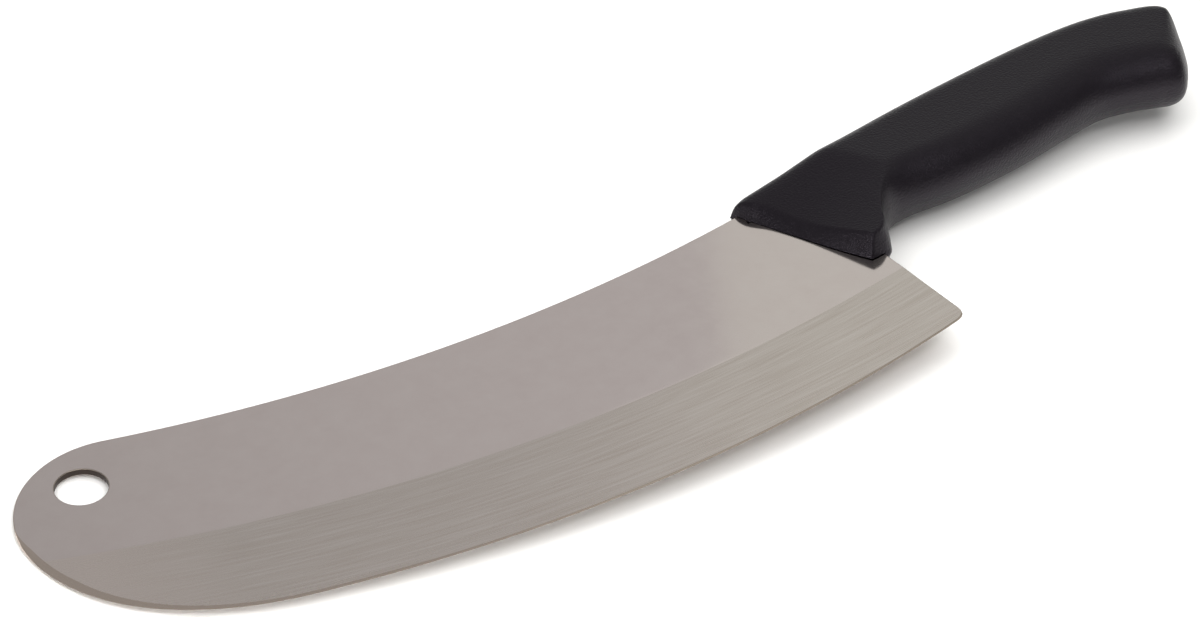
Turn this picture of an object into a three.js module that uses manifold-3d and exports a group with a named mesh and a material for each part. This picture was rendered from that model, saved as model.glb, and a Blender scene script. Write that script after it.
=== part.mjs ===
// Onion knife. A wide, curved blade is stamped and ground from one sheet of steel,
// and a plastic handle is moulded over its tang. Lengths are in millimetres.
//
// The knife is drawn in the plane of its blade: X from the tip to the pommel, Y towards the
// spine, Z out of the blade's upper face. Zero is where the spine runs into the handle,
// half way through the sheet. At the end it is laid on its side, as it rests on a table.

import * as THREE from 'three';
import { mergeVertices } from 'three/addons/utils/BufferGeometryUtils.js';
import Module from 'manifold-3d';

const wasm = await Module();
wasm.setup();

// Sheet steel and moulding
const sheetThickness = 2.0;
const mouldGap = 0.3;              // left between the tang and the handle around it

// Blade outline
const spineRadius = 435;           // the back is a hollow arc
const spineLowX = -66.8;           // where that arc dips lowest
const edgeRadius = 426.2;          // the cutting edge is a bulging arc
const edgeLowX = -74.9;
const edgeLowY = -79.3;
const crownRadius = 28.6;          // round upper corner of the tip
const crownX = -191.3;
const tipStartAngle = 182;         // degrees round the crown where the lower tip curve starts
const tipStartReach = 25.3;        // how far that curve holds its first direction
const tipEndX = -164.9;            // where it runs into the cutting edge
const tipEndReach = 32.4;
const heelX = 19.3;                // the heel's back line, carried up to the level of the spine
const heelLean = 8.9;              // degrees, further back towards the cutting edge
const heelCorner = 3.4;            // rounding of the corner below it

// Hanging hole
const hangHoleRadius = 7.0;
const hangHoleX = -196.6;
const hangHoleY = -2.7;

// Grinding
const grindRadius = 461.1;         // line where the flat side turns into the ground side
const grindLowX = -61.3;
const grindLowY = -50.1;
const grindWidth = 30.6;           // from that line to the edge where it is widest
const groundThickness = 0.3;       // left there by the grinding
const honedThickness = 0.1;        // left at the edge itself
const honeAngle = 20;              // degrees, each side

// Tang
const tangRootX = 8;
const tangRootY = -12;
const tangRootHalf = 8.5;
const tangEndX = 106;
const tangEndY = 0.3;
const tangEndHalf = 6;
const shoulderX = 2.5;             // the sheet keeps its full height up to here
const tangFillet = 4;
const lockHoleRadius = 3.5;        // plastic flows through these and locks the handle
const lockHoleSpots = [0.25, 0.5, 0.75];
const plugBite = 2;                // how far such a plug runs on into the handle, each side

// Handle
const flankHeight = 10.3;          // from the middle of the blade to the flat side of the grip
const spineRound = 7.0;            // depth of the rounding along the back of the grip
const spineFullness = 2.4;         // 2 is an ellipse, more is squarer
const frontBow = 1.1;              // bulge of the front line towards the tip
const bowFade = 5;                 // sections over which the bulge straightens
const endRoundBelly = 9.0;         // rounding of the pommel's end at the belly
const endRoundBack = 2.6;          // the same at the back
const endFullness = 2.1;
const panelTurn = 36.2;            // degrees, way the bolster panel slopes down from the crease
const panelStart = 26.05;          // distance of that crease from zero, along this direction

// The bolster's front leans back and its panel is twisted. At even steps from the guard to the
// spine: depth of the front's slope, how round its top is (1 is crisp), slope of the panel behind.
const bolster = [
  { depth: 4.2, roundness: 1.1, panelSlope: 0.105 },
  { depth: 4.3, roundness: 1.3, panelSlope: 0.175 },
  { depth: 4.5, roundness: 1.7, panelSlope: 0.24 },
  { depth: 4.8, roundness: 2.0, panelSlope: 0.235 },
  { depth: 1.8, roundness: 2.0, panelSlope: 0.19 },
];

// Sections of the handle, from the bolster's front to the pommel. Each is a line from the belly
// to the back of the handle. Depth and fullness are those of the rounding at its belly.
const sections = [
  { belly: [20.2, -35.6], back: [-0.6, 1.8], depth: 5.2, fullness: 1.05 },     // front of the guard
  { belly: [26.5, -34.5], back: [3.0, 3.3], depth: 4.8, fullness: 1.05 },      // back of the guard
  { belly: [29.0, -31.0], back: [9.0, 4.2], depth: 3.6, fullness: 1.4 },
  { belly: [30.7, -25.8], back: [16.0, 5.1], depth: 3.2, fullness: 1.9 },      // finger notch
  { belly: [36.4, -20.5], back: [25.0, 6.4], depth: 6.2, fullness: 1.9 },
  { belly: [44.0, -19.4], back: [36.5, 7.9], depth: 10.2, fullness: 1.85 },    // start of the grip
  { belly: [60.0, -19.8], back: [57.0, 11.1], depth: 10.7, fullness: 1.9 },
  { belly: [80.0, -18.0], back: [80.0, 13.9], depth: 12.0, fullness: 2.0 },
  { belly: [98.0, -14.6], back: [98.0, 15.6], depth: 13.2, fullness: 2.1 },
  { belly: [109.5, -12.9], back: [113.0, 16.1], depth: 13.5, fullness: 2.1 },  // little finger
  { belly: [119.5, -14.6], back: [123.5, 15.3], depth: 13.0, fullness: 2.1 },
  { belly: [126.0, -16.5], back: [131.5, 13.5], depth: 12.0, fullness: 2.1 },  // hook
  { belly: [132.4, -17.6], back: [140.6, 10.1], depth: 10.0, fullness: 2.1 },
  { belly: [138.2, -10.3], back: [143.2, 3.7], depth: 7.0, fullness: 2.1 },    // end of the pommel
];

// Fineness of the facets
const outlineSteps = 24;           // per curve of the blade's outline
const ringSteps = 320;             // round a full grinding ring
const bellySteps = 12;
const flankSteps = 3;
const backSteps = 7;
const stepsPerSection = 4;
const endSteps = 9;                // extra rows where the front and the pommel round over

const degree = Math.PI / 180;
const halfSheet = sheetThickness / 2;
const spineCentre = new THREE.Vector2(spineLowX, Math.sqrt(spineRadius ** 2 - spineLowX ** 2));
const edgeCentre = new THREE.Vector2(edgeLowX, edgeLowY + edgeRadius);
const grindCentre = new THREE.Vector2(grindLowX, grindLowY + grindRadius);

// Turns a closed three.js geometry into a solid that can be cut and joined.
function solidOf(geometry) {
  geometry.deleteAttribute('normal');
  geometry.deleteAttribute('uv');
  const merged = mergeVertices(geometry, 1e-3);
  const mesh = new wasm.Mesh({
    numProp: 3,
    vertProperties: new Float32Array(merged.getAttribute('position').array),
    triVerts: new Uint32Array(merged.index.array),
  });
  return new wasm.Manifold(mesh);
}

// Turns a solid back into a named mesh with its own material.
function meshOf(solid, name, material) {
  const { vertProperties, triVerts, numProp } = solid.getMesh();
  const geometry = new THREE.BufferGeometry();
  const positions = new THREE.InterleavedBuffer(vertProperties, numProp);
  geometry.setAttribute('position', new THREE.InterleavedBufferAttribute(positions, 3, 0));
  geometry.setIndex(new THREE.BufferAttribute(triVerts, 1));
  const mesh = new THREE.Mesh(geometry.toNonIndexed(), material);
  mesh.name = name;
  mesh.geometry.computeVertexNormals();
  return mesh;
}

// Extrudes an outline by a thickness, half of it on each side of the blade's plane.
function plate(shape, thickness) {
  const options = { depth: thickness, bevelEnabled: false, curveSegments: outlineSteps };
  const geometry = new THREE.ExtrudeGeometry(shape, options);
  geometry.translate(0, 0, -thickness / 2);
  return solidOf(geometry);
}

// A round bar across the blade's plane.
function crossBar(radius, length, x, y) {
  const geometry = new THREE.CylinderGeometry(radius, radius, length, 2 * outlineSteps);
  geometry.rotateX(Math.PI / 2);
  geometry.translate(x, y, 0);
  return solidOf(geometry);
}

// A ring with the given profile of [radius, height] points, turned about an axis across the blade.
// The lower ring is the upper one upside down.
function ring(profile, centre, upper) {
  const points = [...profile, profile[0]].map(([r, h]) => new THREE.Vector2(r, h));
  const geometry = new THREE.LatheGeometry(points, ringSteps);
  geometry.rotateX(upper ? Math.PI / 2 : -Math.PI / 2);
  geometry.translate(centre.x, centre.y, 0);
  return solidOf(geometry);
}

// Points on the outline
const heelAt = (y) => new THREE.Vector2(heelX - y * Math.tan(heelLean * degree), y);
const arcBelow = (x, centre, radius) => centre.y - Math.sqrt(radius ** 2 - (x - centre.x) ** 2);
const edgeAt = (x) => new THREE.Vector2(x, arcBelow(x, edgeCentre, edgeRadius));
const tangRoot = new THREE.Vector2(tangRootX, tangRootY);
const tangEnd = new THREE.Vector2(tangEndX, tangEndY);
const tangDirection = tangEnd.clone().sub(tangRoot).normalize();
const tangSide = new THREE.Vector2(-tangDirection.y, tangDirection.x);
const alongTang = (f) => tangRoot.clone().lerp(tangEnd, f);

// A point on the tang's lower (-1) or upper (+1) side, with the tang grown by a margin.
function tangSideAt(x, side, margin) {
  const f = (x - tangRootX) / (tangEndX - tangRootX);
  const half = THREE.MathUtils.lerp(tangRootHalf, tangEndHalf, f) + margin;
  return alongTang(f).addScaledVector(tangSide, side * half);
}

// Draws the part of the sheet inside the handle, from the heel's back line round the tang to the
// shoulder at the spine. A margin makes the cutter for the handle's slot from the same lines.
function drawTang(shape, margin) {
  const backX = heelAt(tangRootY - tangRootHalf).x + margin;
  const corner = tangSideAt(backX, -1, margin);
  shape.lineTo(heelAt(corner.y - tangFillet).x + margin, corner.y - tangFillet);
  const afterCorner = tangSideAt(backX + tangFillet, -1, margin);
  shape.quadraticCurveTo(corner.x, corner.y, afterCorner.x, afterCorner.y);
  const turn = tangDirection.angle();
  shape.absarc(tangEndX, tangEndY, tangEndHalf + margin, turn - Math.PI / 2, turn + Math.PI / 2, false);
  const upper = tangSideAt(shoulderX + margin, 1, margin);
  shape.lineTo(upper.x, upper.y);
  shape.lineTo(upper.x, arcBelow(upper.x, spineCentre, spineRadius - margin));
}

// Blade
function makeBlade() {
  const crownCentre = new THREE.Vector2(crownX, arcBelow(crownX, spineCentre, spineRadius + crownRadius));
  const crownJoin = spineCentre.clone().sub(crownCentre).angle();
  const shoulder = new THREE.Vector2(shoulderX, arcBelow(shoulderX, spineCentre, spineRadius));
  const spineStart = shoulder.clone().sub(spineCentre).angle();
  const tipOut = new THREE.Vector2(Math.cos(tipStartAngle * degree), Math.sin(tipStartAngle * degree));
  const tipStart = crownCentre.clone().addScaledVector(tipOut, crownRadius);
  const tipStartWay = new THREE.Vector2(-tipOut.y, tipOut.x);
  const tipEnd = edgeAt(tipEndX);
  const edgeOut = tipEnd.clone().sub(edgeCentre).normalize();
  const tipEndWay = new THREE.Vector2(-edgeOut.y, edgeOut.x);
  const tipControl1 = tipStart.clone().addScaledVector(tipStartWay, tipStartReach);
  const tipControl2 = tipEnd.clone().addScaledVector(tipEndWay, -tipEndReach);

  // The heel's corner is where its back line crosses the cutting edge.
  const heelWay = new THREE.Vector2(Math.sin(heelLean * degree), -Math.cos(heelLean * degree));
  const heelTop = heelAt(0).sub(edgeCentre);
  const nearest = -heelTop.dot(heelWay);
  const crossing = nearest + Math.sqrt(nearest ** 2 + edgeRadius ** 2 - heelTop.lengthSq());
  const heel = heelAt(0).addScaledVector(heelWay, crossing);
  const beforeHeel = edgeAt(heel.x - heelCorner);
  const afterHeel = heelAt(heel.y + heelCorner);

  const shape = new THREE.Shape();
  shape.moveTo(shoulder.x, shoulder.y);
  shape.absarc(spineCentre.x, spineCentre.y, spineRadius, spineStart, crownJoin - Math.PI, true);
  shape.absarc(crownX, crownCentre.y, crownRadius, crownJoin, tipStartAngle * degree, false);
  shape.bezierCurveTo(tipControl1.x, tipControl1.y, tipControl2.x, tipControl2.y, tipEnd.x, tipEnd.y);
  const edgeStart = edgeOut.angle();
  const edgeEnd = beforeHeel.clone().sub(edgeCentre).angle();
  shape.absarc(edgeCentre.x, edgeCentre.y, edgeRadius, edgeStart, edgeEnd, false);
  shape.quadraticCurveTo(heel.x, heel.y, afterHeel.x, afterHeel.y);
  drawTang(shape, 0);

  let blade = plate(shape, sheetThickness);
  blade = blade.subtract(crossBar(hangHoleRadius, 2 * sheetThickness, hangHoleX, hangHoleY));
  for (const spot of lockHoleSpots) {
    const hole = alongTang(spot);
    blade = blade.subtract(crossBar(lockHoleRadius, 2 * sheetThickness, hole.x, hole.y));
  }

  // Each side is ground to a shallow cone beyond the grind line, then honed along the edge.
  const grindSlope = (sheetThickness - groundThickness) / 2 / grindWidth;
  const honeSlope = Math.tan(honeAngle * degree);
  const outside = 2 * grindWidth;
  const grindProfile = [
    [grindRadius - grindWidth, halfSheet + grindWidth * grindSlope],
    [grindRadius + outside, halfSheet - outside * grindSlope],
    [grindRadius + outside, halfSheet + grindWidth * grindSlope],
  ];
  const honeProfile = [
    [edgeRadius - sheetThickness, honedThickness / 2 + sheetThickness * honeSlope],
    [edgeRadius + sheetThickness, honedThickness / 2 - sheetThickness * honeSlope],
    [edgeRadius + sheetThickness, honedThickness / 2 + sheetThickness * honeSlope],
  ];
  for (const upper of [true, false]) {
    blade = blade.subtract(ring(grindProfile, grindCentre, upper));
    blade = blade.subtract(ring(honeProfile, edgeCentre, upper));
  }
  return blade;
}

// How high a rounded edge has risen at a distance in from it: 0 at the edge, 1 past the rounding.
function rise(distance, depth, fullness) {
  const rest = THREE.MathUtils.clamp(1 - distance / depth, 0, 1);
  return (1 - rest ** fullness) ** (1 / fullness);
}

// Steps round a quarter of a rounding, closest together at its edge.
function quarter(steps, fullness) {
  const angles = Array.from({ length: steps + 1 }, (_, i) => (i / steps) * (Math.PI / 2));
  return angles.map((angle) => 1 - Math.max(Math.cos(angle), 0) ** (2 / fullness));
}

// Handle. It is a loft over the sections: across each of them the surface rises from the belly
// to the flat flank and falls again to the back, and the two moulded halves mirror each other.
// The bolster's sloping panel cuts the flank off, and the front wall and the pommel round over.
function makeHandleBody() {
  const bellyRail = new THREE.SplineCurve(sections.map((s) => new THREE.Vector2(...s.belly)));
  const backRail = new THREE.SplineCurve(sections.map((s) => new THREE.Vector2(...s.back)));
  const roundings = new THREE.SplineCurve(sections.map((s) => new THREE.Vector2(s.depth, s.fullness)));
  const spans = sections.length - 1;
  const panelWay = new THREE.Vector2(Math.cos(panelTurn * degree), Math.sin(panelTurn * degree));

  const frontFoot = bellyRail.getPoint(0);
  const frontWay = backRail.getPoint(0).sub(frontFoot);
  const frontLength = frontWay.length();
  frontWay.normalize();
  const frontSlopes = new THREE.SplineCurve(bolster.map((b) => new THREE.Vector2(b.depth, b.roundness)));
  const panelSlopes = new THREE.SplineCurve(bolster.map((b) => new THREE.Vector2(b.panelSlope, 0)));
  const endFoot = bellyRail.getPoint(1);
  const endWay = backRail.getPoint(1).sub(endFoot);
  const endLength = endWay.length();
  endWay.normalize();
  const swell = (f) => 4 * f * (1 - f);

  // Height of the upper surface over a point of the blade's plane.
  function height(point, inFromBelly, inFromBack, depth, fullness) {
    const fromFront = point.clone().sub(frontFoot);
    const along = THREE.MathUtils.clamp(fromFront.dot(frontWay) / frontLength, 0, 1);
    const behindFront = fromFront.cross(frontWay) + frontBow * swell(along);
    const slope = frontSlopes.getPoint(along);
    const front = 1 - THREE.MathUtils.clamp(1 - behindFront / slope.x, 0, 1) ** slope.y;
    const belowCrease = Math.max(0, panelStart - point.dot(panelWay));
    const panel = flankHeight - panelSlopes.getPoint(along).x * belowCrease;
    const body = Math.min(flankHeight * rise(inFromBelly, depth, fullness), panel * front);
    const fromEnd = point.clone().sub(endFoot);
    const alongEnd = THREE.MathUtils.clamp(fromEnd.dot(endWay) / endLength, 0, 1);
    const endRound = THREE.MathUtils.lerp(endRoundBelly, endRoundBack, alongEnd);
    const beforeEnd = Math.max(-fromEnd.cross(endWay), 0);
    return body
      * rise(inFromBack, spineRound, spineFullness)
      * rise(beforeEnd, endRound, endFullness);
  }

  // Rows are closest together at the front wall and at the pommel's end.
  const rows = [];
  for (let i = 0; i < endSteps; i += 1) {
    rows.push((i / endSteps) ** 2);
  }
  for (let i = 0; i <= (spans - 2) * stepsPerSection; i += 1) {
    rows.push(1 + i / stepsPerSection);
  }
  for (let i = endSteps - 1; i >= 0; i -= 1) {
    rows.push(spans - (i / endSteps) ** 2);
  }

  const positions = [];
  for (const row of rows) {
    const belly = bellyRail.getPoint(row / spans);
    const back = backRail.getPoint(row / spans);
    const rounding = roundings.getPoint(row / spans);
    const width = back.distanceTo(belly);
    const across = back.clone().sub(belly).normalize();
    const forward = new THREE.Vector2(-across.y, across.x);
    const bellyPart = quarter(bellySteps, rounding.y).map((f) => f * rounding.x);
    const backPart = quarter(backSteps, spineFullness).map((f) => width - f * spineRound).reverse();
    const flankPart = [];
    for (let i = 1; i <= flankSteps; i += 1) {
      flankPart.push(THREE.MathUtils.lerp(rounding.x, width - spineRound, i / (flankSteps + 1)));
    }
    const bow = frontBow * Math.max(0, 1 - row / bowFade);
    const upper = [...bellyPart, ...flankPart, ...backPart].map((s) => {
      const point = belly.clone().addScaledVector(across, s).addScaledVector(forward, bow * swell(s / width));
      const rim = s === 0 || s === width;
      return [point.x, point.y, rim ? 0 : height(point, s, width - s, rounding.x, rounding.y)];
    });
    const lower = upper.slice(1, -1).reverse().map(([x, y, z]) => [x, y, -z]);
    positions.push(...upper, ...lower);
  }

  const around = positions.length / rows.length;
  const faces = [];
  for (let i = 0; i + 1 < rows.length; i += 1) {
    for (let j = 0; j < around; j += 1) {
      const a = i * around + j;
      const b = i * around + ((j + 1) % around);
      faces.push(a, a + around, b + around, a, b + around, b);
    }
  }
  const geometry = new THREE.BufferGeometry();
  geometry.setAttribute('position', new THREE.Float32BufferAttribute(positions.flat(), 3));
  geometry.setIndex(faces);
  return solidOf(geometry);
}

function makeHandle() {
  const slot = new THREE.Shape();
  const below = heelAt(2 * edgeLowY);
  slot.moveTo(spineLowX, below.y);
  slot.lineTo(below.x + mouldGap, below.y);
  drawTang(slot, mouldGap);
  const top = slot.currentPoint.clone().sub(spineCentre);
  slot.absarc(spineCentre.x, spineCentre.y, spineRadius - mouldGap, top.angle(), -Math.PI / 2, true);
  const slotWidth = sheetThickness + 2 * mouldGap;
  let handle = makeHandleBody().subtract(plate(slot, slotWidth));
  for (const spot of lockHoleSpots) {
    const plug = alongTang(spot);
    handle = handle.add(crossBar(lockHoleRadius - mouldGap, slotWidth + 2 * plugBite, plug.x, plug.y));
  }
  return handle;
}

const steel = new THREE.MeshStandardMaterial({ color: 0xb4aea8, metalness: 1.0, roughness: 0.35 });
const plastic = new THREE.MeshStandardMaterial({ color: 0x1d1b1e, metalness: 0.0, roughness: 0.55 });

const knife = new THREE.Group();
knife.name = 'knife';
knife.add(meshOf(makeBlade(), 'blade', steel));
knife.add(meshOf(makeHandle(), 'handle', plastic));

// It lies on the side of the handle, where the flat flank starts, and on the tip of the blade.
const flankStartX = panelStart / Math.cos(panelTurn * degree);
const tipX = crownX - crownRadius;
knife.rotation.y = -Math.asin((flankHeight - halfSheet) / (flankStartX - tipX));
knife.updateMatrixWorld(true);
const box = new THREE.Box3().setFromObject(knife, true);
const middle = box.getCenter(new THREE.Vector3());
knife.position.set(-middle.x, -middle.y, -box.min.z);

const part = new THREE.Group();
part.name = 'onion_knife';
part.add(knife);

export default part;
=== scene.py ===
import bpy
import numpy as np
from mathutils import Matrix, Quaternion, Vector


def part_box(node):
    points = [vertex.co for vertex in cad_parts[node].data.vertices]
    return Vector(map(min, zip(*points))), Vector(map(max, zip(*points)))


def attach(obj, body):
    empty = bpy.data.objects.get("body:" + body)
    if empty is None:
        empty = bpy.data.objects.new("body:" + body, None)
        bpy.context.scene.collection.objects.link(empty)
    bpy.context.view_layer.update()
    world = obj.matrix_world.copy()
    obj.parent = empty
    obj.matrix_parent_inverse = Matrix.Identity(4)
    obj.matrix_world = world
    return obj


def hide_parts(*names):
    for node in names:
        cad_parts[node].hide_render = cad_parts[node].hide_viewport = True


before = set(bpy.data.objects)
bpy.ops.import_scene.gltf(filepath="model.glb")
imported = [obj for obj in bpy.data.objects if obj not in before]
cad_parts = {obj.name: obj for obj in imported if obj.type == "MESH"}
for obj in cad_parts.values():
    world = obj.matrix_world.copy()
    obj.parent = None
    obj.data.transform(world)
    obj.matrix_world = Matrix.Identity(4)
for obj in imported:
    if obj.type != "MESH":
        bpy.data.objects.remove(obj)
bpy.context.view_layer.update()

# Onion knife, lying on a pale table: a wide stainless blade with a black moulded handle.
# Sizes are in millimetres in the plane of the blade: X from the tip to the pommel, Y towards the
# spine, Z out of the blade's upper face, and zero where the spine runs into the handle.

MM = 0.001
DEGREE = np.pi / 180

# Blade
HALF_SHEET = 1.0
SPINE_RADIUS, SPINE_LOW_X = 435.0, -66.8
EDGE_RADIUS, EDGE_LOW = 426.2, np.array([-74.9, -79.3])
CROWN_RADIUS, CROWN_X = 28.6, -191.3
TIP_START_ANGLE, TIP_START_REACH = 180 * DEGREE, 26.15
TIP_END_X, TIP_END_REACH = -166.2, 32.5
HEEL_X, HEEL_LEAN, HEEL_CORNER = 19.3, 8.9 * DEGREE, 3.4
HANG_HOLE, HANG_HOLE_RADIUS = np.array([-196.6, -2.4]), 7.0
GRIND_RADIUS, GRIND_LOW = 461.1, np.array([-61.3, -50.1])
GRIND_WIDTH, GROUND_THICKNESS, HONED_THICKNESS = 30.6, 0.3, 0.03
GRIND_BLEND = 0.7          # width over which the flat side turns into the ground side
GRIND_HOLLOW = 0.5         # share by which the ground side starts steeper and ends flatter than a plane
RIM_ROUND = 0.18           # rounding of the sheet's edges
# Width of the honed band at distances along the outline from the crown's end. It starts on the blunt
# tip, where the sheet is thick, and the blunt edge turns into it over a length.
HONED_BAND = np.array([[-9, 0], [0, 1.5], [18, 2.3], [45, 1.5], [75, 1.05], [130, 0.7], [250, 0.5]])
HONE_FADE = 14.0
TIP_END_LINE = 9.0         # outline taken as the grid's end, each side of the grind line

# Tang
TANG_ROOT, TANG_ROOT_HALF = np.array([8.0, -12.0]), 8.5
TANG_END, TANG_END_HALF = np.array([106.0, 0.3]), 6.0
SHOULDER_X, TANG_FILLET = 2.5, 4.0
LOCK_HOLE_RADIUS, LOCK_HOLE_SPOTS = 3.5, (0.25, 0.5, 0.75)

# Handle
MOULD_GAP, SPINE_GAP = 0.3, 0.06     # crevice round the blade at the guard and at the spine
FLANK_HEIGHT, SPINE_ROUND, SPINE_FULLNESS = 10.3, 7.0, 2.4
FRONT_BOW, BOW_FADE = 1.1, 5.0
# The bolster's front leans back, and its panel is twisted. At even steps from the guard to the spine:
# depth of the front's slope, roundness of its top (1 is crisp) and slope of the panel behind it.
BOLSTER = np.array([
    [4.2, 1.1, 0.105],
    [4.3, 1.3, 0.175],
    [4.5, 1.7, 0.24],
    [4.8, 2.0, 0.235],
    [1.8, 2.0, 0.19],
])
END_ROUND_BELLY, END_ROUND_BACK, END_FULLNESS = 9.0, 2.6, 2.1
PANEL_TURN, PANEL_START = 36.2 * DEGREE, 26.05
CREASE_BLEND = 1.2         # width over which the flank turns into the bolster's panel
SHOULDER_BLEND = 0.25      # height over which the panel turns into the belly's rounding
SEAM_HEIGHT = 0.14         # ridge where the two halves of the mould meet
BOX_MARGIN = 0.02          # how far the ridge stays inside the outline

# Sections of the handle: belly x, belly y, back x, back y, depth and fullness of the belly's rounding.
SECTIONS = np.array([
    [20.2, -35.6, -0.6, 1.8, 5.2, 1.05],       # front of the guard
    [26.5, -34.5, 3.0, 3.3, 4.8, 1.05],        # back of the guard
    [29.0, -31.0, 9.0, 4.2, 3.6, 1.4],
    [30.7, -25.8, 16.0, 5.1, 3.2, 1.9],        # finger notch
    [36.4, -20.5, 25.0, 6.4, 6.2, 1.9],
    [44.0, -19.4, 36.5, 7.9, 10.2, 1.85],      # start of the grip
    [60.0, -19.8, 57.0, 11.1, 10.7, 1.9],
    [80.0, -18.0, 80.0, 13.9, 12.0, 2.0],
    [98.0, -14.6, 98.0, 15.6, 13.2, 2.1],
    [109.5, -12.9, 113.0, 16.1, 13.5, 2.1],    # little finger
    [119.5, -14.6, 123.5, 15.3, 13.0, 2.1],
    [126.0, -16.5, 131.5, 13.5, 12.0, 2.1],    # hook
    [132.4, -17.6, 140.6, 10.1, 10.0, 2.1],
    [138.2, -10.3, 143.2, 3.7, 7.0, 2.1],      # end of the pommel
])

SPINE_CENTRE = np.array([SPINE_LOW_X, np.sqrt(SPINE_RADIUS**2 - SPINE_LOW_X**2)])
EDGE_CENTRE = EDGE_LOW + [0, EDGE_RADIUS]
GRIND_CENTRE = GRIND_LOW + [0, GRIND_RADIUS]
TIP_X = CROWN_X - CROWN_RADIUS

# The knife lies on the front end of the handle's flank and on the tip of the blade.
LEAN = np.arcsin((FLANK_HEIGHT - HALF_SHEET) / (PANEL_START / np.cos(PANEL_TURN) - TIP_X))
LAY = np.array([[np.cos(LEAN), 0, -np.sin(LEAN)], [0, 1, 0], [np.sin(LEAN), 0, np.cos(LEAN)]])
BLADE_CORNER = np.array([
    (LAY @ [TIP_X, 0, HALF_SHEET])[0],
    EDGE_LOW[1],
    (LAY @ [TIP_X, 0, -HALF_SHEET])[2],
])
SHIFT = np.array(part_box("blade")[0]) / MM - BLADE_CORNER


def laid(points):
    """Points in the plane of the blade, in millimetres, to where the knife lies, in metres."""
    return (np.asarray(points) @ LAY.T + SHIFT) * MM


# Curves and grids

def length_along(path):
    """Distance from the path's first point to each of its points, along the path."""
    return np.append(0, np.cumsum(np.linalg.norm(np.diff(path, axis=0), axis=1)))


def spread(path, count, start=0.0, end=None):
    """A stretch of a path as that many points, an even distance apart along it."""
    along = length_along(path)
    at = np.linspace(start, along[-1] if end is None else end, count)
    return np.stack([np.interp(at, along, path[:, axis]) for axis in (0, 1)], axis=1)


def line(first, last, count):
    """Points on a straight line."""
    return np.linspace(first, last, count)


def arc(centre, radius, start, end, count=400):
    """Points on a circle from one angle to another."""
    angle = np.linspace(start, end, count)[:, None]
    return centre + radius * np.hstack([np.cos(angle), np.sin(angle)])


def bezier(points, count=200):
    """A Bezier curve: each point is weighted by its Bernstein polynomial."""
    t = np.linspace(0, 1, count)[:, None]
    while len(points) > 1:
        points = [(1 - t) * a + t * b for a, b in zip(points, points[1:])]
    return points[0]


def angle_to(centre, point):
    """Angle at which a point is seen from a centre."""
    return np.arctan2(point[1] - centre[1], point[0] - centre[0])


def arc_below(centre, radius, x):
    """Point of a circle's lower half at a given x."""
    return np.array([x, centre[1] - np.sqrt(radius**2 - (x - centre[0]) ** 2)])


def patch(near, far, first, last):
    """Coons patch between four border curves: the two ruled surfaces added, less the bilinear one.

    near and far run along it, first and last run across from near to far."""
    u = np.linspace(0, 1, len(near))[:, None, None]
    v = np.linspace(0, 1, len(first))[None, :, None]
    along = (1 - v) * near[:, None] + v * far[:, None]
    across = (1 - u) * first[None] + u * last[None]
    corners = (1 - v) * ((1 - u) * near[0] + u * near[-1]) + v * ((1 - u) * far[0] + u * far[-1])
    return along + across - corners


def quads_of(ids):
    """The quads of a grid of point numbers, row by row."""
    return np.stack([ids[:-1, :-1], ids[1:, :-1], ids[1:, 1:], ids[:-1, 1:]], axis=-1)


def band(first, second):
    """The quads between two closed rows of point numbers."""
    return np.stack([first, second, np.roll(second, -1), np.roll(first, -1)], axis=-1)


# Blade

def heel_at(y):
    """Point of the heel's back line at a given y."""
    return np.array([HEEL_X - y * np.tan(HEEL_LEAN), y])


def tang_side(x, side):
    """Point of the tang's upper (+1) or lower (-1) side, across from its middle line at x."""
    share = (x - TANG_ROOT[0]) / (TANG_END[0] - TANG_ROOT[0])
    way = (TANG_END - TANG_ROOT) / np.linalg.norm(TANG_END - TANG_ROOT)
    half = TANG_ROOT_HALF + share * (TANG_END_HALF - TANG_ROOT_HALF)
    return TANG_ROOT + share * (TANG_END - TANG_ROOT) + side * half * np.array([-way[1], way[0]])


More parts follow.
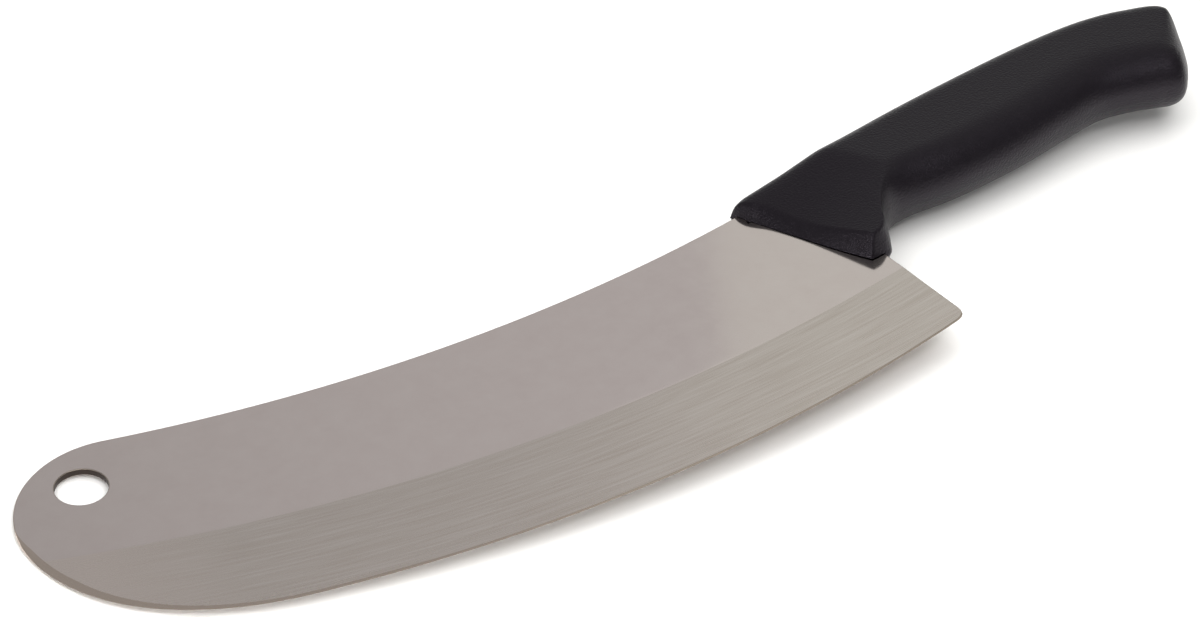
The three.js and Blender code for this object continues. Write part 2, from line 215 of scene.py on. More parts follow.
def blade_outline():
    """The outline from the shoulder along the spine, round the tip and along the edge to the heel.

    Arcs for spine, crown and edge, a cubic curve under the tip, a rounded corner and a line."""
    shoulder = arc_below(SPINE_CENTRE, SPINE_RADIUS, SHOULDER_X)
    crown = arc_below(SPINE_CENTRE, SPINE_RADIUS + CROWN_RADIUS, CROWN_X)
    spine_angles = angle_to(SPINE_CENTRE, shoulder), angle_to(SPINE_CENTRE, crown)
    crown_start = angle_to(crown, SPINE_CENTRE)
    out = np.array([np.cos(TIP_START_ANGLE), np.sin(TIP_START_ANGLE)])
    tip_start = crown + CROWN_RADIUS * out
    tip_end = arc_below(EDGE_CENTRE, EDGE_RADIUS, TIP_END_X)
    edge_out = (tip_end - EDGE_CENTRE) / EDGE_RADIUS
    tip = bezier([
        tip_start,
        tip_start + TIP_START_REACH * np.array([-out[1], out[0]]),
        tip_end - TIP_END_REACH * np.array([-edge_out[1], edge_out[0]]),
        tip_end,
    ], 800)
    heel_way = np.array([np.sin(HEEL_LEAN), -np.cos(HEEL_LEAN)])
    from_centre = heel_at(0) - EDGE_CENTRE
    nearest = -from_centre @ heel_way
    to_edge = nearest + np.sqrt(nearest**2 + EDGE_RADIUS**2 - from_centre @ from_centre)
    heel = heel_at(0) + heel_way * to_edge
    before_heel = arc_below(EDGE_CENTRE, EDGE_RADIUS, heel[0] - HEEL_CORNER)
    corner = bezier([before_heel, heel, heel_at(heel[1] + HEEL_CORNER)], 40)
    edge_angles = angle_to(EDGE_CENTRE, tip_end), angle_to(EDGE_CENTRE, before_heel)
    pieces = [
        arc(SPINE_CENTRE, SPINE_RADIUS, *spine_angles, 1500),
        arc(crown, CROWN_RADIUS, crown_start, TIP_START_ANGLE)[1:],
        tip[1:],
        arc(EDGE_CENTRE, EDGE_RADIUS, *edge_angles, 1500)[1:],
        corner[1:],
    ]
    crown_end = len(pieces[0]) + len(pieces[1])
    before_corner = sum(len(piece) for piece in pieces[:-1])
    return np.concatenate(pieces), crown_end, before_corner + len(corner) // 2


def honed_band(outline, crown_end):
    """Width of the honed band at each point of the outline, how sharp it leaves the edge there, from 0
    for blunt to 1, and the line where the band starts on the face."""
    along = length_along(outline)
    from_crown = along - along[crown_end]
    before_end = np.clip((along[-1] - along) / HEEL_CORNER, 0, 1)
    width = np.interp(from_crown, *HONED_BAND.T) * before_end
    sharpness = np.clip((from_crown - HONED_BAND[0, 0]) / HONE_FADE, 0, 1) * before_end
    way = np.gradient(outline, axis=0)
    way /= np.linalg.norm(way, axis=1, keepdims=True)
    return width, sharpness, outline - width[:, None] * np.column_stack([way[:, 1], -way[:, 0]])


def hole_in(grid, ids, centre, radius, rings):
    """A round hole in a grid: a block of cells is taken out, and rings of points run from the
    block's border straight towards the hole's centre, down to its edge.

    Returns the cells that stay, the points of the rings, the first being the block's border, and
    the border's point numbers."""
    near = np.linalg.norm(grid - centre, axis=2) < radius + 2 * RIM_ROUND
    rows, columns = np.nonzero(near)
    a, b = rows.min() - 1, rows.max() + 1
    c, d = columns.min() - 1, columns.max() + 1
    stay = np.ones((grid.shape[0] - 1, grid.shape[1] - 1), bool)
    stay[a:b, c:d] = False
    walk = [(a, slice(c, d)), (slice(a, b), d), (b, slice(d, c, -1)), (slice(b, a, -1), c)]
    border = np.concatenate([grid[step] for step in walk])
    away = border - centre
    rim = centre + radius * away / np.linalg.norm(away, axis=1, keepdims=True)
    share = np.linspace(0, 1, rings + 1)[:, None, None]
    return stay, (1 - share) * border + share * rim, np.concatenate([ids[step] for step in walk])


def blade_height(points):
    """Half the thickness of the blade: flat, then a shallow hollow cone beyond the grind line, with
    a soft turn."""
    beyond = np.linalg.norm(points - GRIND_CENTRE, axis=1) - GRIND_RADIUS
    share = (beyond + np.hypot(beyond, GRIND_BLEND)) / 2 / GRIND_WIDTH
    return HALF_SHEET - (HALF_SHEET - GROUND_THICKNESS / 2) * share * (1 + GRIND_HOLLOW * (1 - share))


FLAT, GROUND, HONED, BLANKED, PUNCHED = range(5)


def blade_surface(columns=220, shoulder_rows=5, root_rows=22, heel_rows=24, ground_rows=18, tang_columns=110):
    """The closed blade: an upper face of patches with its holes, the same face mirrored below,
    and edges carried along every outline: a honed band, or a wall with rounded rims.

    Returns its points, quads, the finish of each quad and the points where the faces end."""
    outline, crown_end, corner = blade_outline()
    band_width, sharpness, inner = honed_band(outline, crown_end)
    along = length_along(inner)
    beyond = np.linalg.norm(inner - GRIND_CENTRE, axis=1) - GRIND_RADIUS
    crossing = np.nonzero(beyond > 0)[0]
    grind_tip = along[crossing[crossing > crown_end // 2][0]]

    # Border curves of the flat patch and of the ground patch
    spine = spread(inner, columns + 1, 0, grind_tip - TIP_END_LINE)
    edge = spread(inner, columns + 1, along[corner], grind_tip + TIP_END_LINE)
    flat_rows = shoulder_rows + root_rows + heel_rows
    flat_end = spread(inner, flat_rows + 1, grind_tip - TIP_END_LINE, grind_tip)
    ground_end = spread(inner, ground_rows + 1, grind_tip, grind_tip + TIP_END_LINE)
    heel_start = heel_at(tang_side(heel_at(TANG_ROOT[1] - TANG_ROOT_HALF)[0], -1)[1] - TANG_FILLET)
    heel_line = line(heel_start, inner[-1], 2000)
    turned = np.argmin(np.abs(np.linalg.norm(heel_line - GRIND_CENTRE, axis=1) - GRIND_RADIUS))
    shoulder_foot = tang_side(SHOULDER_X, 1)
    flat_start = np.concatenate([
        line(inner[0], shoulder_foot, shoulder_rows + 1),
        line(shoulder_foot, heel_start, root_rows + 1)[1:],
        line(heel_start, heel_line[turned], heel_rows + 1)[1:],
    ])
    ground_start = spread(np.concatenate([heel_line[turned:], inner[:corner - 1:-1][1:]]), ground_rows + 1)
    grind_angles = angle_to(GRIND_CENTRE, heel_line[turned]), angle_to(GRIND_CENTRE, flat_end[-1])
    grind = arc(GRIND_CENTRE, GRIND_RADIUS, *grind_angles, columns + 1)
    ground = patch(grind, edge, ground_start, ground_end)
    grid = np.concatenate([patch(spine, grind, flat_start, flat_end), ground[:, 1:]], axis=1)
    ids = np.arange(grid.shape[0] * grid.shape[1]).reshape(grid.shape[:2])

    # The tang's patch starts from the rows between the shoulder and the heel's back line.
    root = slice(shoulder_rows, shoulder_rows + root_rows + 1)
    turn = np.arctan2(*(TANG_END - TANG_ROOT)[::-1])
    tang_end = arc(TANG_END, TANG_END_HALF, turn + np.pi / 2, turn - np.pi / 2, root_rows + 1)
    after_corner = tang_side(heel_at(TANG_ROOT[1] - TANG_ROOT_HALF)[0] + TANG_FILLET, -1)
    lower = bezier([heel_start, tang_side(after_corner[0] - TANG_FILLET, -1), after_corner])
    lower = spread(np.concatenate([lower, tang_end[-1:]]), tang_columns + 1)
    upper = line(shoulder_foot, tang_end[0], tang_columns + 1)
    tang = patch(upper, lower, grid[0, root], tang_end)
    tang_ids = ids.size + np.arange(tang[1:].shape[0] * tang.shape[1]).reshape(-1, tang.shape[1])
    tang_ids = np.concatenate([ids[:1, root], tang_ids])

    points = [grid.reshape(-1, 2), tang[1:].reshape(-1, 2)]
    count = ids.size + tang_ids[1:].size
    rims = [np.concatenate([
        ids[:-1, 0], ids[-1, :-1], ids[:0:-1, -1], ids[0, :root.stop - 1:-1],
        tang_ids[:-1, -1], tang_ids[-1, :0:-1], tang_ids[:0:-1, 0], ids[0, root.start:0:-1],
    ])]

    # Holes
    stay, finish = np.ones(quads_of(ids).shape[:2], bool), np.full(quads_of(ids).shape[:2], FLAT)
    finish[:, flat_rows:] = GROUND
    tang_stay = np.ones(quads_of(tang_ids).shape[:2], bool)
    rounds = []
    holes = [(grid, ids, stay, HANG_HOLE, HANG_HOLE_RADIUS, 6)]
    for spot in LOCK_HOLE_SPOTS:
        centre = TANG_ROOT + spot * (TANG_END - TANG_ROOT)
        holes.append((tang, tang_ids, tang_stay, centre, LOCK_HOLE_RADIUS, 3))
    for where, numbers, keep, centre, radius, rings in holes:
        left, ring_points, border = hole_in(where, numbers, centre, radius, rings)
        keep &= left
        ring_ids = count + np.arange(ring_points[1:, :, 0].size).reshape(rings, -1)
        count += ring_ids.size
        points.append(ring_points[1:].reshape(-1, 2))
        ring_ids = np.concatenate([border[None], ring_ids])
        rounds += [band(a, b) for a, b in zip(ring_ids, ring_ids[1:])]
        rims.append(ring_ids[-1])
    points = np.concatenate(points)

    # Edges: from the line where the upper face ends, rings run out and down to the middle of the sheet.
    height = blade_height(points)
    face = [quads_of(ids)[stay], quads_of(tang_ids)[tang_stay], *rounds]
    kinds = [finish[stay], *(np.full(len(quads), FLAT) for quads in face[1:])]
    upper_face = np.concatenate(face)
    solid = [np.column_stack([points, height]), np.column_stack([points, -height])]
    quads = [upper_face, upper_face[:, ::-1] + count]
    kinds = [np.concatenate(kinds)] * 2
    total = 2 * count
    for rim, wall in zip(rims, [BLANKED] + [PUNCHED] * len(holes)):
        ahead, behind = points[np.roll(rim, -1)], points[np.roll(rim, 1)]
        way = (ahead - behind) / np.linalg.norm(ahead - behind, axis=1, keepdims=True)
        out = np.column_stack([way[:, 1], -way[:, 0]])
        from_band = np.linalg.norm(points[rim, None] - inner, axis=2)
        nearest, on_band = from_band.argmin(axis=1), from_band.min(axis=1) < RIM_ROUND
        inset = np.where(on_band, band_width[nearest], 0)
        honed = np.where(on_band, sharpness[nearest], 0)
        rounding = np.minimum(RIM_ROUND, height[rim] / 2)
        reach = np.maximum(inset, rounding)
        drop = rounding + honed * (height[rim] - HONED_THICKNESS / 2 - rounding)
        rings = []
        for share in np.linspace(0, 1, 4):
            outwards = honed * share + (1 - honed) * np.sin(share * np.pi / 2)
            downwards = honed * share + (1 - honed) * (1 - np.cos(share * np.pi / 2))
            rings.append(np.column_stack([
                points[rim] + out * (inset - reach * (1 - outwards))[:, None],
                height[rim] - drop * downwards,
            ]))
        solid[0][rim] = rings[0]
        solid[1][rim] = rings[0] * [1, 1, -1]
        between = [*rings[1:], *(ring * [1, 1, -1] for ring in rings[:0:-1])]
        new_rows = (total + k * len(rim) + np.arange(len(rim)) for k in range(len(between)))
        numbers = [rim, *new_rows, rim + count]
        solid += between
        total += len(between) * len(rim)
        for a, b in zip(numbers, numbers[1:]):
            quads.append(band(a, b))
            edge_finish = wall if a is numbers[len(rings) - 1] else BLANKED
            kinds.append(np.where(honed > 0, HONED, edge_finish))
    ends = np.concatenate(rims)
    return np.concatenate(solid), np.concatenate(quads), np.concatenate(kinds), np.append(ends, ends + count)


def grain_of(points):
    """Distance along the grinding arcs and across them, in metres, for each point."""
    from_centre = points[:, :2] - GRIND_CENTRE
    along = np.arctan2(from_centre[:, 0], -from_centre[:, 1]) * GRIND_RADIUS
    across = np.linalg.norm(from_centre, axis=1) - GRIND_RADIUS
    return np.column_stack([along, across]) * MM


# Handle

def rise(distance, depth, fullness):
    """Height of a rounded edge at a distance in from it: 0 at the edge, 1 past the rounding."""
    rest = np.clip(1 - distance / depth, 0, 1)
    return (1 - rest**fullness) ** (1 / fullness)


def spline(points, at):
    """Catmull-Rom spline through the points, at positions counted in spans."""
    last = len(points) - 1
    span = np.clip(np.floor(at).astype(int), 0, last - 1)
    t = (at - span)[:, None]
    p0, p1 = points[np.maximum(span - 1, 0)], points[span]
    p2, p3 = points[span + 1], points[np.minimum(span + 2, last)]
    v1, v2 = (p2 - p0) / 2, (p3 - p1) / 2
    return (2 * p1 - 2 * p2 + v1 + v2) * t**3 + (3 * p2 - 3 * p1 - 2 * v1 - v2) * t**2 + v1 * t + p1


def lower_of(a, b, blend):
    """The lower of two heights, with a soft turn from one to the other."""
    return (a + b - np.sqrt((a - b) ** 2 + blend**2)) / 2


def swell(share):
    """A parabola that is 0 at both ends and 1 in the middle."""
    return 4 * share * (1 - share)


def handle_surface(per_section=16, end_rows=22, belly_columns=24, flank_columns=14, back_columns=18):
    """The closed handle: a loft over the sections.

    Across each section the surface rises from the belly to the flat flank and falls to the back.
    The bolster's panel cuts it off, the front wall and the pommel's end round it over, and the
    lower half is the upper one mirrored."""
    spans = len(SECTIONS) - 1
    ends = (np.arange(end_rows) / end_rows) ** 2
    between_ends = np.linspace(1, spans - 1, (spans - 2) * per_section + 1)
    rows = np.concatenate([ends, between_ends, spans - ends[::-1]])
    section = spline(SECTIONS, rows)
    belly, back, depth, fullness = section[:, :2], section[:, 2:4], section[:, 4:5], section[:, 5:6]
    width = np.linalg.norm(back - belly, axis=1, keepdims=True)
    across = (back - belly) / width
    forward = np.column_stack([-across[:, 1], across[:, 0]])

    # How far each column lies in from the belly; columns crowd where the surface is steep.
    seam = np.array([0, 0.008, 0.016])
    belly_turn = np.append(seam, np.linspace(0, np.pi / 2, belly_columns)[1:])
    back_turn = np.append(seam, np.linspace(0, np.pi / 2, back_columns)[1:])
    from_belly = depth * (1 - np.maximum(np.cos(belly_turn), 0) ** (2 / fullness))
    from_back = width - SPINE_ROUND * (1 - np.maximum(np.cos(back_turn), 0) ** (2 / SPINE_FULLNESS))
    middle = np.linspace(0, 1, flank_columns + 2)[1:-1]
    flank = depth + (width - SPINE_ROUND - depth) * middle
    inward = np.hstack([from_belly, flank, from_back[:, ::-1]])
    inset = np.full(inward.shape[1], SEAM_HEIGHT)
    inset[[0, -1]] = BOX_MARGIN
    inward = inset + inward * (width - 2 * inset) / width

    bow = FRONT_BOW * np.maximum(0, 1 - rows / BOW_FADE)[:, None] * swell(inward / width)
    plan = belly[:, None] + across[:, None] * inward[:, :, None] + forward[:, None] * bow[:, :, None]

    front_foot, front_way = belly[0], across[0]
    from_front = plan - front_foot
    along_front = np.clip(from_front @ front_way / width[0], 0, 1)
    behind_front = from_front @ np.array([front_way[1], -front_way[0]]) + FRONT_BOW * swell(along_front)
    from_end = plan - belly[-1]
    along_end = np.clip(from_end @ across[-1] / width[-1], 0, 1)
    before_end = from_end @ np.array([-across[-1, 1], across[-1, 0]])
    end_round = END_ROUND_BELLY + (END_ROUND_BACK - END_ROUND_BELLY) * along_end
    bolster = spline(BOLSTER, along_front.ravel() * (len(BOLSTER) - 1)).reshape(*along_front.shape, 3)
    front = 1 - np.clip(1 - behind_front / bolster[..., 0], 0, 1) ** bolster[..., 1]
    below_crease = PANEL_START - plan @ np.array([np.cos(PANEL_TURN), np.sin(PANEL_TURN)])
    panel = FLANK_HEIGHT - bolster[..., 2] * (below_crease + np.hypot(below_crease, CREASE_BLEND)) / 2
    body = lower_of(FLANK_HEIGHT * rise(inward, depth, fullness), panel * front, SHOULDER_BLEND)
    height = (
        np.maximum(body, 0)
        * rise(width - inward, SPINE_ROUND, SPINE_FULLNESS)
        * rise(np.maximum(before_end, 0), end_round, END_FULLNESS)
    )
    height[:, [0, -1]] = 0

    # Upper and lower half share their points along the seam, the front line and the end line.
    upper = np.dstack([plan, height])
    ids = np.arange(height.size).reshape(height.shape)
    lower_ids = ids.copy()
    lower_ids[1:-1, 1:-1] = ids.size + np.arange(height[1:-1, 1:-1].size).reshape(height[1:-1, 1:-1].shape)
    points = np.concatenate([upper.reshape(-1, 3), upper[1:-1, 1:-1].reshape(-1, 3) * [1, 1, -1]])
    return points, np.concatenate([quads_of(ids).reshape(-1, 4), quads_of(lower_ids).reshape(-1, 4)[:, ::-1]])


def slot_surface(outside=60.0):
    """The space of the blade and its tang inside the handle: their outline, a little larger, as a
    plate that is a little thicker than the sheet, most of all at the guard. It runs on past the
    handle's front."""
    corner = tang_side(heel_at(TANG_ROOT[1] - TANG_ROOT_HALF)[0], -1)
    heel_start, after_corner = heel_at(corner[1] - TANG_FILLET), tang_side(corner[0] + TANG_FILLET, -1)
    turn = np.arctan2(*(TANG_END - TANG_ROOT)[::-1])
    spine = arc_below(SPINE_CENTRE, SPINE_RADIUS, SHOULDER_X)
    spine_angles = angle_to(SPINE_CENTRE, spine), -np.pi / 2
    outline = np.concatenate([
        [[SPINE_LOW_X, -outside]],
        [heel_at(-outside)],
        bezier([heel_start, corner, after_corner], 12),
        arc(TANG_END, TANG_END_HALF, turn - np.pi / 2, turn + np.pi / 2, 24),
        [tang_side(SHOULDER_X, 1)],
        arc(SPINE_CENTRE, SPINE_RADIUS, *spine_angles, 40),
    ])
    ahead, behind = np.roll(outline, -1, axis=0), np.roll(outline, 1, axis=0)
    way = (ahead - behind) / np.linalg.norm(ahead - behind, axis=1, keepdims=True)
    guard_y, spine_y = SECTIONS[0, 1], SECTIONS[0, 3]
    gap = SPINE_GAP + (MOULD_GAP - SPINE_GAP) * (outline[:, 1:] - spine_y) / (guard_y - spine_y)
    outline = outline + gap * np.column_stack([way[:, 1], -way[:, 0]])
    number = np.arange(len(outline))
    top = np.hstack([outline, HALF_SHEET + gap])
    points = np.concatenate([top, top * [1, 1, -1]])
    sides = band(number, number + len(outline)).tolist()
    return points, [number.tolist(), (number[::-1] + len(outline)).tolist(), *sides]


def new_object(name, points, faces, materials=()):
    """A mesh object at the origin from points in the plane of the blade and their faces."""
    mesh = bpy.data.meshes.new(name)
    faces = faces.tolist() if isinstance(faces, np.ndarray) else faces
    mesh.from_pydata(laid(points).tolist(), [], faces)
    for material in materials:
        mesh.materials.append(material)
    piece = bpy.data.objects.new(name, mesh)
    bpy.context.scene.collection.objects.link(piece)
    return piece


def shade(piece, sharpest, crisp_line=()):
    """Smooth shading, with edges that turn by more than an angle kept crisp, and those along a line."""
    mesh = piece.data
    mesh.shade_smooth()
    mesh.set_sharp_from_angle(angle=sharpest)
    ends, crisp = np.empty(2 * len(mesh.edges), np.int32), np.empty(len(mesh.edges), bool)
    mesh.edges.foreach_get("vertices", ends)
    mesh.edges.foreach_get("use_edge_sharp", crisp)
    on_line = np.isin(ends.reshape(-1, 2), crisp_line).all(axis=1)
    mesh.edges.foreach_set("use_edge_sharp", crisp | on_line)


def cut(piece, tool):
    """Cuts the tool's space out of a piece, and removes the tool."""
    modifier = piece.modifiers.new("slot", "BOOLEAN")
    modifier.operation = "DIFFERENCE"
    modifier.solver = "EXACT"
    modifier.object = tool
    graph = bpy.context.evaluated_depsgraph_get()
    mesh = bpy.data.meshes.new_from_object(piece.evaluated_get(graph))
    piece.modifiers.clear()
    piece.data = mesh
    bpy.data.objects.remove(tool)


# Materials

# Sizes of the patterns. Towards the tip the streaks fade and painted light lightens the ground side, between
# two distances along the grinding arcs.
CLOUD_WIDTH = 7 * MM
STREAK_LENGTH, STREAK_WIDTH = 24 * MM, 0.8 * MM
STREAK_FADE_AND_PAINTED_LIGHT_START, STREAK_FADE_AND_PAINTED_LIGHT_END = -112 * MM, -148 * MM
PEBBLE_WIDTH, PEBBLE_HEIGHT = 0.52 * MM, 0.2 * MM


def linear(hex_colour):
    """An sRGB hex colour as linear red, green, blue and alpha."""
    value = np.array([int(hex_colour[i:i + 2], 16) for i in (1, 3, 5)]) / 255
    value = np.where(value <= 0.04045, value / 12.92, ((value + 0.055) / 1.055) ** 2.4)
    return (*value.tolist(), 1.0)


def add(tree, kind, inputs, **settings):
    """Adds a node with its settings; each input is a value or another node's output."""
    made = tree.nodes.new(kind)
    for name, value in settings.items():
        setattr(made, name, value)
    for socket, value in inputs.items():
        if isinstance(value, bpy.types.NodeSocket):
            tree.links.new(value, made.inputs[socket])
        else:
            made.inputs[socket].default_value = value
    return made


def new_material(name):
    """An empty node material and its node tree."""
    material = bpy.data.materials.new(name)
    material.use_nodes = True
    material.node_tree.nodes.clear()
    return material, material.node_tree


def rolled_stainless():
    """Stainless sheet, rolled and lightly polished: an even, nearly mirror-like satin grey with a
    faint cloudiness from handling."""
    material, tree = new_material("rolled_stainless_steel")
    place = add(tree, "ShaderNodeTexCoord", {})
    cloud = add(tree, "ShaderNodeTexNoise", {
        "Vector": place.outputs["Object"], "Scale": 1 / CLOUD_WIDTH, "Detail": 4.0, "Roughness": 0.65,
    })
    haze = add(tree, "ShaderNodeMapRange", {
        "Value": cloud.outputs["Fac"], "From Min": 0.3, "From Max": 0.7, "To Min": 0.085, "To Max": 0.125,
    })
    tint = add(tree, "ShaderNodeMix", {
        "Factor": cloud.outputs["Fac"], 6: linear("#D1C5C1"), 7: linear("#DBD1CD"),
    }, data_type="RGBA")
    shader = add(tree, "ShaderNodeBsdfPrincipled", {
        "Base Color": tint.outputs[2], "Metallic": 1.0, "Roughness": haze.outputs[0],
    })
    add(tree, "ShaderNodeOutputMaterial", {"Surface": shader.outputs[0]})
    return material


def ground_stainless():
    """The same steel, ground along the edge on a belt: a duller, browner grey with fine streaks that
    follow the edge. Towards the tip the streaks fade and the grey is lightened to the flat's tone with
    painted light, which stands in for the shading of the grind running out into the flat. The streaks
    of a real belt are about 0.1 mm wide and are drawn coarser here."""
    material, tree = new_material("belt_ground_stainless_steel")
    grain = add(tree, "ShaderNodeUVMap", {}, uv_map="grain")
    stretch = add(tree, "ShaderNodeMapping", {
        "Vector": grain.outputs["UV"], "Scale": (1 / STREAK_LENGTH, 1 / STREAK_WIDTH, 1.0),
    })
    streak = add(tree, "ShaderNodeTexNoise", {
        "Vector": stretch.outputs[0], "Scale": 1.0, "Detail": 3.0, "Roughness": 0.6,
    })
    strength = add(tree, "ShaderNodeMapRange", {
        "Value": streak.outputs["Fac"], "From Min": 0.3, "From Max": 0.7,
    })
    tint = add(tree, "ShaderNodeMix", {
        "Factor": strength.outputs[0], 6: linear("#CCC1B9"), 7: linear("#D7CEC8"),
    }, data_type="RGBA")
    place = add(tree, "ShaderNodeSeparateXYZ", {"Vector": grain.outputs["UV"]})
    # Painted light: towards the tip the ground side is lightened to the flat's tone, standing in for the
    # shading of the grind running out into the flat; the streaks fade with it.
    streak_fade_and_painted_light = add(tree, "ShaderNodeMapRange", {
        "Value": place.outputs["X"], "From Min": STREAK_FADE_AND_PAINTED_LIGHT_END, "From Max": STREAK_FADE_AND_PAINTED_LIGHT_START,
        "To Min": 1.0, "To Max": 0.0,
    })
    streaks_with_painted_light = add(tree, "ShaderNodeMix", {
        "Factor": streak_fade_and_painted_light.outputs[0], 6: tint.outputs[2], 7: linear("#DBCFC8"),
    }, data_type="RGBA")
    depth = add(tree, "ShaderNodeMapRange", {"Value": strength.outputs[0], "To Min": 0.295, "To Max": 0.24})
    shader = add(tree, "ShaderNodeBsdfPrincipled", {
        "Base Color": streaks_with_painted_light.outputs[2], "Metallic": 1.0, "Roughness": depth.outputs[0],
    })
    add(tree, "ShaderNodeOutputMaterial", {"Surface": shader.outputs[0]})
    return material


def honed_stainless():
    """The edge honed on a fine stone: a smooth narrow band, tilted so that it mirrors the ceiling."""
    material, tree = new_material("honed_stainless_steel")
    shader = add(tree, "ShaderNodeBsdfPrincipled", {
        "Base Color": linear("#CDBEB2"), "Metallic": 1.0, "Roughness": 0.25,
    })
    add(tree, "ShaderNodeOutputMaterial", {"Surface": shader.outputs[0]})
    return material


def punched_wall_with_painted_shade():
    """The wall of a punched hole, dull from the punch and dark with painted shade: the shade inside the hole
    is painted into its colour.
    """
    material, tree = new_material("punched_steel_wall_painted_shade")
    # Painted shade: the dark base colour stands for the shade inside the hole.
    shader = add(tree, "ShaderNodeBsdfPrincipled", {
        "Base Color": linear("#453D39"), "Metallic": 1.0, "Roughness": 0.5,
    })
    add(tree, "ShaderNodeOutputMaterial", {"Surface": shader.outputs[0]})
    return material


def blanked_edge():
    """The stamped edge of the sheet, tumbled: duller and darker than its faces."""
    material, tree = new_material("blanked_steel_edge")
    shader = add(tree, "ShaderNodeBsdfPrincipled", {
        "Base Color": linear("#A89C90"), "Metallic": 1.0, "Roughness": 0.42,
    })
    add(tree, "ShaderNodeOutputMaterial", {"Surface": shader.outputs[0]})
    return material


def moulded_polypropylene():
    """Black polypropylene from a spark-eroded mould: a fine pebbled skin with a satin sheen. The
    pebbles of such a mould are finer than the drawn ones, which are as coarse as they need to show."""
    material, tree = new_material("moulded_polypropylene")
    place = add(tree, "ShaderNodeTexCoord", {})
    pebble = add(tree, "ShaderNodeTexNoise", {
        "Vector": place.outputs["Object"], "Scale": 1 / PEBBLE_WIDTH, "Detail": 2.0, "Roughness": 0.5,
    })
    bump = add(tree, "ShaderNodeBump", {
        "Height": pebble.outputs["Fac"], "Strength": 1.0, "Distance": PEBBLE_HEIGHT,
    })
    shader = add(tree, "ShaderNodeBsdfPrincipled", {
        "Base Color": linear("#0A070B"), "Roughness": 0.37, "IOR": 1.49, "Specular IOR Level": 0.38,
        "Specular Tint": linear("#FAEFFF"), "Normal": bump.outputs[0],
    })
    add(tree, "ShaderNodeOutputMaterial", {"Surface": shader.outputs[0]})
    return material


# Pieces

blade_points, blade_quads, blade_finish, blade_rims = blade_surface()
blade = new_object("blade_dressed", blade_points, blade_quads, [
    rolled_stainless(), ground_stainless(), honed_stainless(), blanked_edge(), punched_wall_with_painted_shade(),
])
blade.data.polygons.foreach_set("material_index", blade_finish.astype(np.int32))
grain = blade.data.uv_layers.new(name="grain")
corners = np.empty(len(blade.data.loops), np.int32)
blade.data.loops.foreach_get("vertex_index", corners)
grain.data.foreach_set("uv", grain_of(blade_points)[corners].astype(np.float32).ravel())
shade(blade, 40 * DEGREE, blade_rims)

handle = new_object("handle_dressed", *handle_surface(), [moulded_polypropylene()])
cut(handle, new_object("slot_cutter", *slot_surface()))
shade(handle, 45 * DEGREE)

for piece, node, slot in ((blade, "blade", "blade_steel"), (handle, "handle", "handle_plastic")):
    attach(piece, "root")
    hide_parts(node)


# Stage: floor, light and camera

def floor():
    """A pale matt table top under the knife."""
    size = 6.0
    mesh = bpy.data.meshes.new("floor")
    half = size / 2
    corners = [(-half, -half, 0), (half, -half, 0), (half, half, 0), (-half, half, 0)]
    mesh.from_pydata(corners, [], [(0, 1, 2, 3)])
    material, tree = new_material("matt_white_laminate")
    shader = add(tree, "ShaderNodeBsdfPrincipled", {"Base Color": linear("#F4F3F1"), "Roughness": 0.9})
    add(tree, "ShaderNodeOutputMaterial", {"Surface": shader.outputs[0]})
    mesh.materials.append(material)
    table = bpy.data.objects.new("floor", mesh)
    bpy.context.scene.collection.objects.link(table)


def softbox(name, place, aim, size, power, colour="#FFFFFF", mirrored=True):
    """A rectangular area light, in metres, that faces a point; one that isn't mirrored only lights
    what is matt, as light through a polarising sheet does. The camera sees none of them."""
    light = bpy.data.lights.new(name, "AREA")
    light.shape = "RECTANGLE"
    light.size, light.size_y = size
    light.energy = power
    light.color = linear(colour)[:3]
    lamp = bpy.data.objects.new(name, light)
    lamp.visible_glossy = mirrored
    lamp.visible_camera = False
    lamp.location = place
    lamp.rotation_euler = (Vector(aim) - Vector(place)).to_track_quat("-Z", "Y").to_euler()
    bpy.context.scene.collection.objects.link(lamp)


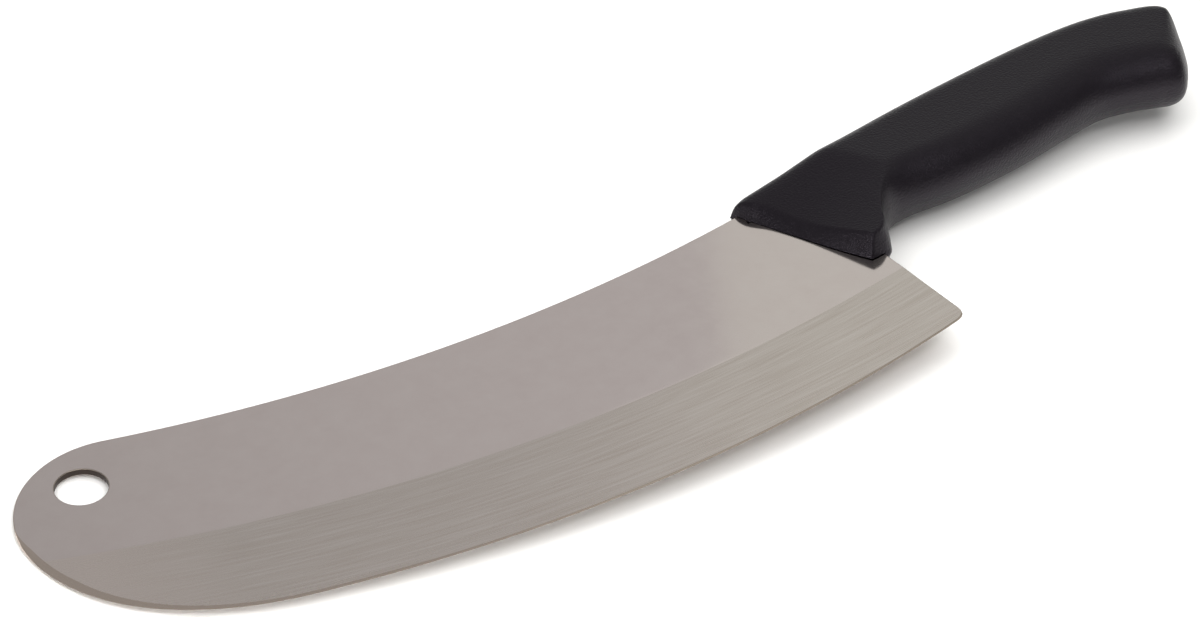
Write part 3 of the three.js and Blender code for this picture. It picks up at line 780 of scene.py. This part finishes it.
def studio():
    """A room that is brighter at the back than at the camera's side, with a window's soft glow at the
    back on the right."""
    world = bpy.data.worlds.new("studio")
    world.use_nodes = True
    tree = world.node_tree
    tree.nodes.clear()
    way = add(tree, "ShaderNodeTexCoord", {})
    back = add(tree, "ShaderNodeVectorMath", {
        0: way.outputs["Generated"], 1: (0.0, 0.95, 0.31),
    }, operation="DOT_PRODUCT")
    bright = add(tree, "ShaderNodeMapRange", {
        "Value": back.outputs["Value"], "From Min": -0.7, "From Max": 1.0, "To Min": 0.18, "To Max": 0.58,
    })
    window = add(tree, "ShaderNodeVectorMath", {
        0: way.outputs["Generated"], 1: (0.45, 0.62, 0.643),
    }, operation="DOT_PRODUCT")
    glow = add(tree, "ShaderNodeMapRange", {
        "Value": window.outputs["Value"], "From Min": 0.975, "From Max": 1.0, "To Min": 0.0, "To Max": 0.24,
    })
    both = add(tree, "ShaderNodeMath", {0: bright.outputs[0], 1: glow.outputs[0]}, operation="ADD")
    light = add(tree, "ShaderNodeBackground", {"Strength": both.outputs[0]})
    add(tree, "ShaderNodeOutputWorld", {"Surface": light.outputs[0]})
    bpy.context.scene.world = world


def photo_camera():
    """A long lens from the front left, looking down on the knife."""
    azimuth, elevation, roll, distance = -31.08 * DEGREE, 38.04 * DEGREE, 0.076 * DEGREE, 1.8
    target = Vector(laid([-49.0, -12.0, 0.0]))
    back = Vector((
        np.sin(azimuth) * np.cos(elevation), -np.cos(azimuth) * np.cos(elevation), np.sin(elevation),
    ))
    data = bpy.data.cameras.new("camera")
    data.sensor_width = 36.0
    data.lens = 207.2
    camera = bpy.data.objects.new("camera", data)
    camera.location = target + distance * back
    camera.rotation_euler = (Quaternion(back, roll) @ (-back).to_track_quat("-Z", "Y")).to_euler()
    bpy.context.scene.collection.objects.link(camera)
    bpy.context.scene.camera = camera


floor()
studio()
# Each light's place, the point it faces, its size and its power in watts
softbox("overhead", (0.1, 0.2, 1.6), (0, 0, 0), (3.0, 2.4), 46, mirrored=False)
softbox("side_card", (0.47, 0.2, 0.33), (0.17, -0.465, -0.315), (0.6, 0.9), 0.22, "#E8F6DE")
softbox("upper_card", (0.385, 0.108, 0.465), (0.086, -0.555, -0.177), (0.59, 0.30), 0.045)
softbox("front_fill", (-0.5, -1.8, 0.7), (0, 0, 0), (2.4, 1.0), 15, mirrored=False)
softbox("left_spot", (-0.25, -0.152, 0.095), (0.055, 0, 0.014), (0.036, 0.036), 0.15)
softbox("left_card", (-1.0, -0.25, 0.42), (0.05, 0, 0), (0.5, 0.5), 0.5)
softbox("camera_side", (0.0, -0.9, 1.33), (0.1, 0, 0), (0.35, 0.35), 4)
photo_camera()
bpy.context.scene.view_settings.view_transform = "Standard"
